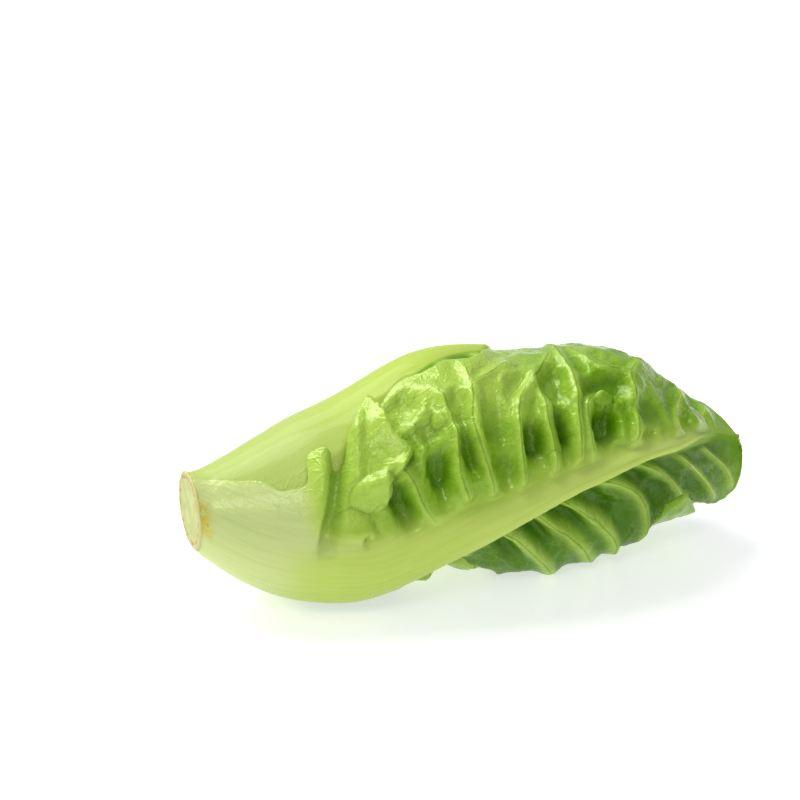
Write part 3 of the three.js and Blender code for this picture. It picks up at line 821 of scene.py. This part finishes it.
# ---------------------------------------------------------------- the leaves
# Each leaf is a thin sheet with a thick rib, wrapped round the next one inside it and growing
# out of the short stem. The outer ones are crisp, blistered and green; those inside are
# smoother, paler and yellower.
OUTER_BLADE = 0.6
INNER_BLADE = 0.4
SKINS = (outer_skin, middle_skin, heart_skin)
for leaf in leaves:
    bpy.ops.object.select_all(action="DESELECT")
    piece = shape_leaf(leaf)
    piece.select_set(True)
    bpy.context.view_layer.objects.active = piece
    thickness = piece.modifiers.new("thickness", "SOLIDIFY")
    thickness.thickness = (OUTER_BLADE if leaf.rank < 4 else INNER_BLADE) * MM
    thickness.offset = -1
    thickness.use_even_offset = False
    bpy.ops.object.modifier_apply(modifier="thickness")
    bpy.ops.object.shade_smooth()
    piece.data.materials.append(shaded_second_skin if leaf.rank == 1 else SKINS[leaf.rank // 4])
    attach(piece, "root")
    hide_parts(leaf.name)

# ---------------------------------------------------------------- the stem
# The short stem that the leaves grow from, sliced clean through. The cut shows pale pith, a
# ring of brown sap-stained bundles and a paler skin. Each ring of its mesh has a depth and a
# radius, and the last one is drawn together inside the leaves.
STEM_SIDES = 120
STEM_RINGS = (
    (0.28, 0.5),
    (0.25, 1.2), (0.2, 2.6), (0.14, 4.0), (0.1, 5.4), (0.06, 6.6), (0.05, 7.4), (0.1, 8.0), (0.02, 8.5),
    (-0.06, 9.0), (-0.04, 9.4), (0.03, 9.75), (0.15, 10.0), (0.4, 10.15), (0.8, 10.1), (1.6, 9.9),
    (3.0, 9.8), (5.0, 9.8), (8.0, 9.8), (14.0, 9.0), (22.0, 7.0), (32.0, 4.5), (40.0, 2.0),
)
bpy.ops.object.select_all(action="DESELECT")
bpy.ops.mesh.primitive_circle_add(vertices=STEM_SIDES, radius=STEM_RINGS[0][1], fill_type="TRIFAN")
stem = bpy.context.object
stem.name = "stem_core"
bpy.ops.object.mode_set(mode="EDIT")
bpy.ops.mesh.select_all(action="SELECT")
bpy.ops.mesh.flip_normals()
bpy.ops.mesh.select_mode(type="EDGE")
bpy.ops.mesh.region_to_loop()
for _ in STEM_RINGS[1:]:
    bpy.ops.mesh.extrude_region_move(TRANSFORM_OT_translate={"value": (0, 0, 1)})
bpy.ops.mesh.merge(type="CENTER")
bpy.ops.mesh.select_all(action="SELECT")
bpy.ops.mesh.normals_make_consistent(inside=False)
bpy.ops.object.mode_set(mode="OBJECT")
flat = np.empty(len(stem.data.vertices) * 3)
stem.data.vertices.foreach_get("co", flat)
flat = flat.reshape(-1, 3)
# each ring was raised by one, so its height is its number
ring = np.round(flat[:, 2]).astype(int)
turn = np.degrees(np.arctan2(flat[:, 1], flat[:, 0]))
depths, radii = np.array(STEM_RINGS).T
middle = np.hypot(flat[:, 0], flat[:, 1]) < 0.4
radius = np.where(middle, 0, radii[ring])
round_x, round_y = np.cos(np.radians(turn)) * 20, np.sin(np.radians(turn)) * 20
out_of_round = 0.35 * wander(round_x, round_y, 12.0, 3.3)
bumps = smooth(radius, 6, 10) * 0.12 * wander(turn, depths[ring] * 3, 7.0, 8.8)
radius = radius * (1 + 0.06 * out_of_round) + bumps
x = depths[ring] + smooth(radius, 1, 9) * 0.18 * wander(turn * 0.3, radius * 3, 4.0, 2.2)
x = np.maximum(x, 0)
points = place(x, turn, radius)
stem.data.vertices.foreach_set("co", points.ravel())
keep_on_points(stem.data, "along", x)
keep_on_points(stem.data, "out", radius)
stem.data.update()
bpy.ops.object.shade_smooth()

flesh, shader = new_material("cut_stem")
start = Field(flesh.node_tree, None)
here = start.node("ShaderNodeTexCoord", 3)
along = start.node("ShaderNodeAttribute", 2, {"attribute_name": "along"})
out = start.node("ShaderNodeAttribute", 2, {"attribute_name": "out"})


def stem_noise(scale, detail=3.0):
    """Soft patches through the stem; a larger scale makes them finer."""
    values = {"Vector": here, "Scale": scale, "Detail": detail, "Roughness": 0.55}
    return start.node("ShaderNodeTexNoise", 0, None, **values)


# the pith, mottled and a little gritty
wet = stem_noise(260.0)
grit = stem_noise(1100.0, 4.0)
shift = (stem_noise(420.0) - 0.5) * 1.4
tone = start.node("ShaderNodeRGB", 0)
tone.socket.default_value = colour(184, 191, 104)
tone = tone.mix(colour(206, 212, 132), wet.ramp(0.42, 0.66) * 0.6)
tone = tone.mix(colour(176, 188, 92), grit.ramp(0.55, 0.75) * 0.5)
# the ring of brown bundles, and the skin round it
bundles = (out + shift).ramp(7.9, 8.4) * (out + shift).ramp(9.3, 8.8)
dots = stem_noise(620.0, 2.0).ramp(0.42, 0.6)
tone = tone.mix(colour(186, 112, 44), bundles * dots * 0.95)
tone = tone.mix(colour(202, 196, 116), out.ramp(9.3, 9.9) * 0.7)
skin = along.ramp(0.35, 1.2)
tone = tone.mix(colour(202, 208, 138), skin)
# sap stains just behind the rim
stain = (along + shift).ramp(0.1, 0.8) * (along + shift).ramp(4.4, 1.6) * stem_noise(150.0).ramp(0.45, 0.62)
tone = tone.mix(colour(198, 170, 60), stain * 0.8)
tone = tone.mix(colour(150, 128, 40), stain * dots * 0.5)
feed(tone, shader, "Base Color")
feed(0.38 + 0.2 * grit, shader, "Roughness")
relief = grit * 0.5 + bundles * dots * 0.5 + wet * 0.3
bump = start.node("ShaderNodeBump", 0, None, Height=relief, Strength=0.7, Distance=0.0006)
feed(bump, shader, "Normal")
shader.inputs["Subsurface Weight"].default_value = 0.25
shader.inputs["Subsurface Radius"].default_value = (1.2, 1.4, 0.5)
shader.inputs["Subsurface Scale"].default_value = 0.0015
stem.data.materials.append(flesh)
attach(stem, "root")
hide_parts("stem")
